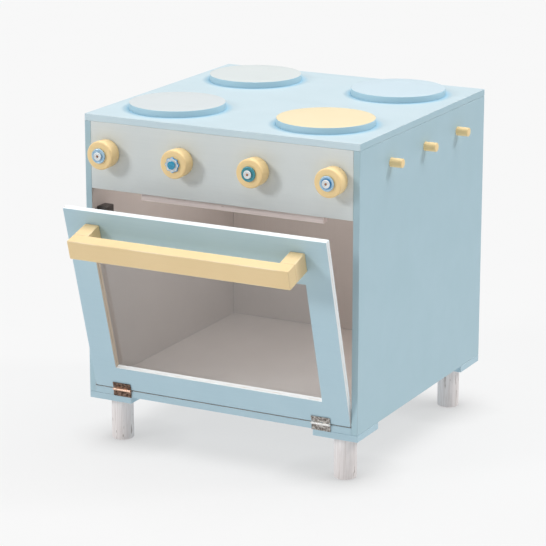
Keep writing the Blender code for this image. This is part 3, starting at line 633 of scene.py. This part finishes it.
for place in CORNERS:
    disc = burner_disc(place)
print("burner discs:", len(disc.data.polygons), "faces each")

# %% [markdown]
# ## Pegs and knobs
#
# The hanging pegs are short 12 mm dowels. The knobs are turned from beech, 38 mm across, with a flat
# front and a soft shoulder. Both are painted a warm yellow, glossier than the boards, because small
# things are dipped and not brushed.

# %% Turn the pegs and the knobs
PEG_EDGE = 1.2 * MM
KNOB_SHOULDER = 2.3 * MM
KNOB_BACK_EDGE = 2.2 * MM
KNOB_WAIST = 0.5 * MM        # how much slimmer the knob is at its back
KNOBS = ("first_knob", "second_knob", "third_knob", "fourth_knob")


def side_peg(node):
    """A dowel peg with a rounded end, which points out along X."""
    low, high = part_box(node)
    radius = (high.z - low.z) / 2
    length = high.x - low.x
    bm = spun([(0.0, length), (radius * 0.5, length)]
              + corner((radius - PEG_EDGE, length - PEG_EDGE), PEG_EDGE, 90, 0, 5)
              + [(radius, 0.0), (0.0, 0.0)], 48)
    middle = (low + high) / 2
    place = Matrix.Translation((low.x, middle.y, middle.z)) @ Matrix.Rotation(math.pi / 2, 4, "Y")
    return finish_piece(bm, node + "_painted", "cabinet", [PAINTS["yellow"]], [node],
                        place)


def facing_front(x, y, z):
    """The place of a shape that was made standing up, laid down to face the front."""
    return Matrix.Translation((x, y, z)) @ Matrix.Rotation(math.pi / 2, 4, "X")


def turned_knob(number):
    """A beech knob with a flat front and a soft shoulder."""
    node = "knob_%d" % number
    low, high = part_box(node)
    radius = (high.z - low.z) / 2
    depth = high.y - low.y
    slim = radius - KNOB_WAIST
    outline = ([(0.0, depth), (radius * 0.4, depth)]
               + corner((radius - KNOB_SHOULDER, depth - KNOB_SHOULDER), KNOB_SHOULDER, 90, 0, 8)
               + corner((slim - KNOB_BACK_EDGE, KNOB_BACK_EDGE), KNOB_BACK_EDGE, 0, -90, 4)
               + [(0.0, 0.0)])
    middle = (low + high) / 2
    return finish_piece(spun(outline, 96), node + "_painted", KNOBS[number - 1],
                        [PAINTS["yellow"]], [node], facing_front(middle.x, high.y, middle.z))


for number in (1, 2, 3):
    side_peg("side_peg_%d" % number)
for number in (1, 2, 3, 4):
    knob = turned_knob(number)
print("knobs:", len(knob.data.polygons), "faces each")

# %% [markdown]
# ## The buttons on the knobs
#
# Each knob wears a large sewing button with a small one on it, held by a copper tack, so that a child
# can see which way it points. A button is a low dish with a round rim. The second knob's large button
# has eight petals, and its small one is a plain dome.

# %% Turn the buttons and the tacks
BUTTON_SIDES = 96
BUTTON_WELL = 0.7            # height of the dish's bottom, as a share of the thickness
DOME_RISE = 0.6 * MM
PETALS = 8
PETAL_DEPTH = 0.75 * MM      # half of the way from a petal's tip to the notch between two
TACK_HEAD = 1.7 * MM         # radius
TACK_RISE = 1.1 * MM
TACK_FOOT = 0.2 * MM         # how deep the head sits in the small button
LOOKS = {1: ("blue", "blue", "white"), 2: ("white", "royal", "aqua"),
         3: ("teal", "teal", "white"), 4: ("blue", "royal", "white")}


def dished(radius, thickness):
    """The outline of a button: a sunk middle, a round rim and a rounded back."""
    rim = thickness / 2
    well = thickness * BUTTON_WELL
    return ([(0.0, well), (0.4 * radius, well), (radius - 2 * rim, well)]
            + corner((radius - rim, thickness - rim), rim, 120, -60, 9) + [(0.0, 0.0)])


def domed(radius, thickness):
    """The outline of a plain domed button."""
    rise = [(radius * math.sin(a), thickness - DOME_RISE * (1 - math.cos(a)))
            for a in [math.radians(10 * i) for i in range(9)]]
    return [(0.0, thickness)] + rise[1:] + [(radius, thickness * 0.3), (radius * 0.9, 0.0), (0.0, 0.0)]


def petalled(bm, radius):
    """Wave a round button's outline into petals, more towards its edge."""
    for vert in bm.verts:
        reach = math.hypot(vert.co.x, vert.co.y)
        if reach > 0:
            wave = PETAL_DEPTH * math.cos(PETALS * math.atan2(vert.co.y, vert.co.x))
            vert.co.xy *= 1 + (wave - PETAL_DEPTH) * (reach / radius) ** 2 / reach


def sewing_button(number, size):
    """One of a knob's two buttons, made over its CAD solid."""
    node = "%s_button_%d" % (size, number)
    low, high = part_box(node)
    radius = (high.z - low.z) / 2
    thickness = high.y - low.y
    rim_cast, well_cast, small_cast = LOOKS[number]
    flower = number == 2
    outline = domed if (flower and size == "small") else dished
    bm = spun(outline(radius, thickness), BUTTON_SIDES)
    if size == "large":
        casts = [rim_cast, well_cast]
        for face in bm.faces:
            middle = face.calc_center_median()
            inside = math.hypot(middle.x, middle.y) < radius - thickness * 0.95
            sunk = inside and middle.z > 0.3 * thickness
            outer = math.hypot(middle.x, middle.y) > radius - 0.35 * thickness
            face.material_index = int(outer if flower else sunk)
        if flower:
            petalled(bm, radius)
    else:
        casts = [small_cast]
    middle = (low + high) / 2
    return finish_piece(bm, node + "_cast", KNOBS[number - 1],
                        [BUTTON_CASTS[cast] for cast in casts], [node],
                        facing_front(middle.x, high.y, middle.z))


def tack(number):
    """A round-headed copper tack through the middle of the small button."""
    low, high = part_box("small_button_%d" % number)
    seat = (high.y - low.y) * BUTTON_WELL
    dome = [(TACK_HEAD * math.sin(a), TACK_RISE * math.cos(a))
            for a in [math.radians(15 * i) for i in range(7)]]
    outline = [(0.0, TACK_RISE)] + dome[1:] + [(TACK_HEAD * 0.4, -TACK_FOOT), (0.0, -TACK_FOOT)]
    middle = (low + high) / 2
    return finish_piece(spun(outline, 32), "button_tack_%d" % number, KNOBS[number - 1],
                        [METALS["copper"]], (), facing_front(middle.x, high.y - seat, middle.z))


for number in (1, 2, 3, 4):
    sewing_button(number, "large")
    sewing_button(number, "small")
    if number != 2:
        tack(number)
print("buttons: 8, tacks: 3")

# %% [markdown]
# ## The door
#
# The door stands ajar, tipped forwards on its hinge pins. It is far easier to model shut, square to the
# axes, and then to tip the finished mesh by the door's angle about the pins. The frame is one board
# with a window sawn out: a rectangle with an inset, whose inner face is moved to the window's place
# and removed before the ring gets its thickness.

# %% Shape the door frame
DOOR_TIP = (Matrix.Translation(DOOR_JOINT["pos_m"]) @ Matrix.Rotation(DOOR_TILT, 4, "X")
            @ Matrix.Translation(-Vector(DOOR_JOINT["pos_m"])))
PANE_LAP = 10 * MM           # how far the pane reaches past the window on each side
DOOR_EDGE = 0.6 * MM


def shut_box(node):
    """The corners of a door piece's box, with the door shut."""
    back = DOOR_TIP.inverted()
    points = [back @ vert.co for vert in frame["nodes"][node].data.vertices]
    low = Vector([min(point[axis] for point in points) for axis in range(3)])
    high = Vector([max(point[axis] for point in points) for axis in range(3)])
    return low, high


def rectangle(verts, low, high):
    """Move four vertices to the corners of an upright rectangle, each to its own quarter."""
    middle = sum((vert.co for vert in verts), Vector()) / len(verts)
    for vert in verts:
        vert.co = (high.x if vert.co.x > middle.x else low.x, low.y,
                   high.z if vert.co.z > middle.z else low.z)


def door_frame():
    """The door's board, with the window sawn out, blue in front and sealed white on its edges, but
    for the window's left edge, which was missed and is still raw."""
    low, high = shut_box("door_frame")
    pane_low, pane_high = shut_box("door_window")
    lap = Vector((PANE_LAP, 0.0, PANE_LAP))
    window_low, window_high = pane_low + lap, pane_high - lap
    window_low.y = low.y
    bm = bmesh.new()
    bmesh.ops.create_grid(bm, x_segments=1, y_segments=1, size=0.1,
                          matrix=Matrix.Rotation(math.pi / 2, 4, "X"))
    rectangle(bm.verts[:], low, high)
    ring = bmesh.ops.inset_region(bm, faces=bm.faces[:], thickness=PANE_LAP, use_boundary=True,
                                  use_even_offset=True)["faces"]
    window = [face for face in bm.faces if face not in ring]
    rectangle(window[0].verts[:], window_low, window_high)
    bmesh.ops.delete(bm, geom=window, context="FACES_ONLY")
    raised = bmesh.ops.extrude_face_region(bm, geom=bm.faces[:])["geom"]
    bmesh.ops.translate(bm, vec=(0.0, high.y - low.y, 0.0),
                        verts=[item for item in raised if isinstance(item, bmesh.types.BMVert)])
    bmesh.ops.recalc_face_normals(bm, faces=bm.faces[:])
    sharp = [edge for edge in bm.edges if edge.calc_face_angle(0.0) > math.radians(40)]
    ease_edges(bm, sharp, DOOR_EDGE)
    for face in bm.faces:
        spot = face.calc_center_median()
        if face.normal.x > 0.85 and spot.x < window_high.x - PANE_LAP:
            face.material_index = 3
        elif face.normal.z < -0.85 and spot.z < window_low.z - PANE_LAP:
            continue
        elif abs(face.normal.x) > 0.85 or abs(face.normal.z) > 0.85:
            face.material_index = 1
        elif face.normal.y > 0.85:
            face.material_index = 2
    return finish_piece(bm, "door_frame_painted", "oven_door",
                        [PAINTS["door_blue"], WOODS["edge"], PAINTS["door_mauve"], WOODS["raw_edge"]],
                        ["door_frame"], DOOR_TIP)


panel = door_frame()
print("door frame:", len(panel.data.polygons), "faces")

# %% [markdown]
# ## Window, handle and catch
#
# The pane is cut a little larger than the window and screwed on from behind. The handle is a planed
# bar on two blocks, screwed through the door. A magnetic catch from the hardware shop holds the door
# shut: two steel pole plates stand a hair proud of its plastic housing, and a small steel plate on the
# door meets them.

# %% Fit the pane, the handle and the catch
PANE_EDGE = 0.3 * MM
HANDLE_EDGE = 1.3 * MM
POLE_PROUD = 0.5 * MM
POLE_THICKNESS = 1.4 * MM
POLE_SPREAD = 6 * MM
POLE_INSET = 4 * MM          # from the housing's top and bottom to the poles
POLE_EDGE = 0.2 * MM
HOUSING_EDGE = 1.2 * MM


def eased_block(name, low, high, edge, body, finish, stands_for=(), matrix=None):
    """A block between two corners with rounded edges, in one finish."""
    bm = bmesh.new()
    box_between(bm, low, high)
    ease_edges(bm, bm.edges[:], edge)
    return finish_piece(bm, name, body, [finish], stands_for, matrix)


low, high = shut_box("door_window")
eased_block("window_pane", low, high, PANE_EDGE, "oven_door", ACRYLIC,
            ["door_window"], DOOR_TIP)
for node in ("handle_bar", "handle_post_left", "handle_post_right"):
    low, high = shut_box(node)
    grow = Vector((0.0, GAP / 2 if "post" in node else 0.0, 0.0))
    eased_block(node + "_painted", low - grow, high + grow, HANDLE_EDGE, "oven_door",
                PAINTS["handle_yellow"], [node], DOOR_TIP)

low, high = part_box("magnetic_catch")
front = low + Vector((0.0, POLE_PROUD, 0.0))
eased_block("catch_housing", front, high, HOUSING_EDGE, "cabinet", BLACK_ABS,
            ["magnetic_catch"])
middle = (low + high) / 2
for side, word in ((-1, "left"), (1, "right")):
    x = middle.x + side * POLE_SPREAD / 2
    eased_block("catch_pole_" + word, (x - POLE_THICKNESS / 2, low.y, low.z + POLE_INSET),
                (x + POLE_THICKNESS / 2, middle.y, high.z - POLE_INSET), POLE_EDGE, "cabinet",
                METALS["nickel"])
print("pane, handle and catch in place")

# %% [markdown]
# ## Screws and hinges
#
# Each small hinge takes two slotted screws in either leaf, and six round-headed ones hold the pane. A
# slotted head is a low cone whose top is cut across twice, and the strip between the cuts is pushed
# down. The hinge leaves, their pins and the hidden bolts are already the right shape, so the CAD
# solids stay and only take a metal finish: the left hinge is old brass plate, the right one nickel.

# %% Drive the screws and finish the hinges
SLOT_WIDTH = 0.5 * MM
SLOT_DEPTH = 0.4 * MM
HINGE_SCREW = (1.9 * MM, 0.5 * MM)       # head radius and height
PANE_SCREW = (2.5 * MM, 1.5 * MM)
HINGE_SCREW_SPREAD = 15 * MM
LEAF_MARGIN = 3.2 * MM       # leaf's far edge to its screws
PANE_MARGIN = 5 * MM         # pane's edge to its screws
LEAF_THICKNESS = 0.9 * MM
HEAD_TAPER = 0.72            # top of a head to its foot
SHANK_SHARE = 0.5            # how far the shank's face is inset, as a share of the head's radius
RIM_SHARE = 0.25             # the rim's rounding, as a share of the head's height
NEAR = 0.01 * MM


def slotted_screw(name, size, place, turn, body, finish, facing, matrix=None):
    """A slotted screw head that stands on a face, and the start of its shank."""
    radius, height = size
    bm = bmesh.new()
    shank = 2 * height
    bmesh.ops.create_cone(bm, cap_ends=True, segments=28, radius1=radius, radius2=HEAD_TAPER * radius,
                          depth=height, matrix=Matrix.Translation((0.0, 0.0, height / 2)))
    under = [face for face in bm.faces if face.normal.z < -0.9]
    bmesh.ops.inset_region(bm, faces=under, thickness=SHANK_SHARE * radius)
    bmesh.ops.translate(bm, vec=(0.0, 0.0, -shank), verts=under[0].verts[:])
    rim = [edge for edge in bm.edges
           if all(abs(vert.co.z - height) < NEAR for vert in edge.verts)]
    bmesh.ops.bevel(bm, geom=rim, offset=RIM_SHARE * height, offset_type="OFFSET", affect="EDGES",
                    segments=3, profile=0.5, material=-1)
    for side in (-1, 1):
        bmesh.ops.bisect_plane(bm, geom=bm.verts[:] + bm.edges[:] + bm.faces[:], dist=NEAR / 10,
                               plane_co=(side * SLOT_WIDTH / 2, 0.0, 0.0), plane_no=(1.0, 0.0, 0.0))
    strip = [face for face in bm.faces
             if face.normal.z > 0.99 and abs(face.calc_center_median().x) < 5 * NEAR]
    sunk = bmesh.ops.extrude_discrete_faces(bm, faces=strip)["faces"]
    bmesh.ops.translate(bm, vec=(0.0, 0.0, -min(SLOT_DEPTH, 0.6 * height)),
                        verts=list({vert for face in sunk for vert in face.verts}))
    own = Matrix.Translation(place) @ facing @ Matrix.Rotation(turn, 4, "Z")
    return finish_piece(bm, name, body, [finish], (), own if matrix is None else matrix @ own)


TO_FRONT = Matrix.Rotation(math.pi / 2, 4, "X")
TO_BACK = Matrix.Rotation(-math.pi / 2, 4, "X")
made = 0
for side, metal in (("left", "brass"), ("right", "nickel")):
    for leaf, body in (("door", "oven_door"), ("cabinet", "cabinet")):
        node = "hinge_%s_leaf_%s" % (leaf, side)
        frame["nodes"][node].data.materials.clear()
        frame["nodes"][node].data.materials.append(METALS[metal])
        on_door = leaf == "door"
        low, high = shut_box(node) if on_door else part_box(node)
        z = high.z - LEAF_MARGIN if on_door else low.z + LEAF_MARGIN
        pin_middle = (low.x + high.x) / 2
        # The leaf lies flat on the board, and the barrel stands out in front of its face.
        leaf_face = high.y - LEAF_THICKNESS
        for end in (-1, 1):
            made += 1
            slotted_screw("hinge_screw_%d" % made, HINGE_SCREW,
                          (pin_middle + end * HINGE_SCREW_SPREAD / 2, leaf_face, z), 0.8 * made, body,
                          METALS[metal], TO_FRONT, DOOR_TIP if on_door else None)

low, high = shut_box("door_window")
rows = (low.z + PANE_MARGIN, high.z - PANE_MARGIN)
columns = (low.x + PANE_MARGIN, (low.x + high.x) / 2, high.x - PANE_MARGIN)
for number, (x, z) in enumerate([(x, z) for z in rows for x in columns]):
    slotted_screw("pane_screw_%d" % (number + 1), PANE_SCREW, (x, high.y, z), 1.3 * number,
                  "oven_door", METALS["zinc"], TO_BACK, DOOR_TIP)

PLAIN_METAL = {"hinge_pin_left": "copper", "hinge_pin_right": "nickel", "catch_plate": "nickel"}
for kind in ("leg_bolt_", "knob_screw_", "handle_screw_"):
    PLAIN_METAL.update({node: "zinc" for node in frame["nodes"] if node.startswith(kind)})
for node, metal in PLAIN_METAL.items():
    frame["nodes"][node].data.materials.clear()
    frame["nodes"][node].data.materials.append(METALS[metal])
print("screws:", made, "in the hinges and", len(rows) * len(columns), "round the pane")

# %% [markdown]
# ## The studio
#
# The floor is a wide sheet of white paper that runs out of sight. A picture like this has a floor that
# is nearly blank, with only a soft shadow, so the paper glows a little of its own and takes the rest
# from the lamps. Three soft lamps light the toy: a broad one above, one on the front's left, and one
# behind on the right. A small one hangs under the hob inside the oven, as photographers do, so that
# the inside doesn't go black. Close under the toy the paper gives up part of its glow, or its shadow
# would look too thin.

# %% Lay the floor and hang the lamps
FLOOR_RADIUS = 40.0
FIBRE = 120 * MM             # mottle in the paper
UNDER_OPEN = (0.52, 0.92)    # how open the air is under the toy, and where the paper is fully lit
PAPER_GLOW = 0.79            # how brightly the paper glows by itself
UNDER_GLOW = 0.57            # the same right under the toy
SHADOW_REACH = 85 * MM       # how near a thing must stand to take the paper's glow away
AIR_LIGHT = 0.24             # how strongly the white air lights the toy
AIR_SEEN = 0.93              # how white the air looks above the floor's far edge
FILL_SIZE = 0.30             # the oven's lamp
FILL_POWER = 0.52
FILL_DEPTH = 0.04            # along Y
FILL_DROP = 10 * MM          # below the oven's top
WHITE = (1.0, 1.0, 1.0, 1.0)


def studio_paper():
    """White background paper: even and matt, with a trace of mottle in its fibre."""
    made, tree, shader, place = start_material("studio_paper")
    fibre = add_node(tree, "TexNoise", {"Vector": stretched(tree, place, (FIBRE,) * 3),
                                        "Scale": 1.0, "Detail": 2.0}).outputs["Fac"]
    sheet = blended(tree, fibre, linear("#5C5C5C"), linear("#5E5E5E"))
    tree.links.new(sheet, shader.inputs["Base Color"])
    open_air = add_node(tree, "AmbientOcclusion", {"Distance": SHADOW_REACH}, samples=16).outputs["AO"]
    tree.links.new(faded(tree, open_air, *UNDER_OPEN, UNDER_GLOW, PAPER_GLOW),
                   shader.inputs["Emission Strength"])
    shader.inputs["Roughness"].default_value = 1.0
    shader.inputs["Specular IOR Level"].default_value = 0.0
    shader.inputs["Emission Color"].default_value = WHITE
    return made


bm = bmesh.new()
bmesh.ops.create_circle(bm, cap_ends=True, segments=96, radius=FLOOR_RADIUS)
mesh = bpy.data.meshes.new("studio_floor")
bm.to_mesh(mesh)
bm.free()
mesh.materials.append(studio_paper())
floor = bpy.data.objects.new("studio_floor", mesh)
bpy.context.scene.collection.objects.link(floor)


def soft_lamp(name, comes_from, spread, strength):
    """A distant white lamp behind a wide diffuser: even over the whole floor, with soft shadows."""
    lamp = bpy.data.lights.new(name, "SUN")
    lamp.angle = math.radians(spread)
    lamp.energy = strength
    made = bpy.data.objects.new(name, lamp)
    made.rotation_euler = Vector(comes_from).to_track_quat("Z", "Y").to_euler()
    made.location = Vector(comes_from)
    bpy.context.scene.collection.objects.link(made)


soft_lamp("overhead_lamp", (0.1, 0.35, 3.0), 50, 2.42)
soft_lamp("left_front_lamp", (-1.7, -2.1, 1.25), 16, 1.0)
soft_lamp("right_back_lamp", (1.7, 0.9, 1.7), 12, 1.0)

low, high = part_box("back_panel")
fill = bpy.data.lights.new("oven_fill_lamp", "AREA")
fill.size = FILL_SIZE
fill.energy = FILL_POWER
fill.color = linear("#FFF7F3")[:3]
fill_lamp = bpy.data.objects.new("oven_fill_lamp", fill)
fill_lamp.location = ((low.x + high.x) / 2, FILL_DEPTH, high.z - FILL_DROP)
bpy.context.scene.collection.objects.link(fill_lamp)

world = bpy.data.worlds.new("studio_air")
bpy.context.scene.world = world
world.use_nodes = True
seen = add_node(world.node_tree, "LightPath").outputs["Is Camera Ray"]
air = world.node_tree.nodes["Background"]
air.inputs["Color"].default_value = WHITE
world.node_tree.links.new(faded(world.node_tree, seen, 0.0, 1.0, AIR_LIGHT, AIR_SEEN),
                          air.inputs["Strength"])
print("lamps hung")

# %% [markdown]
# ## The plain model's size
#
# Nothing here may change the toy's size. The box of the plain model is printed.

# %% Print the plain box
print("plain box", CAD_BOX)
